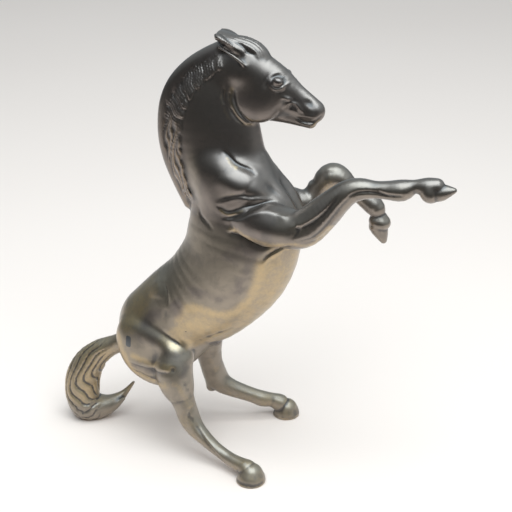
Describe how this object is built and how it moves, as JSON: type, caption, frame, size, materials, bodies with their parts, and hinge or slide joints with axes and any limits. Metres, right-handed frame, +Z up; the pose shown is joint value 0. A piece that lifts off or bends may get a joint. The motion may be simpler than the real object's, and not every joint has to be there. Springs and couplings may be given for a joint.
{
  "type": "rearing horse statuette",
  "caption": "Cast brass statuette of a rearing horse, standing on its hind hooves and the tip of its curled tail, with a cropped mane and one foreleg stretched forward.",
  "frame": {"origin": "middle of the underside of the box around the figure, on the surface it stands on", "axes": "+Z up, from the soles to the ears; +X the way the horse faces; +Y towards its left flank"},
  "size_m": [0.139, 0.0544, 0.1482],
  "materials": {
    "aged_brass": "satin brass under a dark brown patina, rubbed bright on the belly, flank and tail"
  },
  "bodies": {
    "root": {"horse": "aged_brass"}
  },
  "joints": []
}
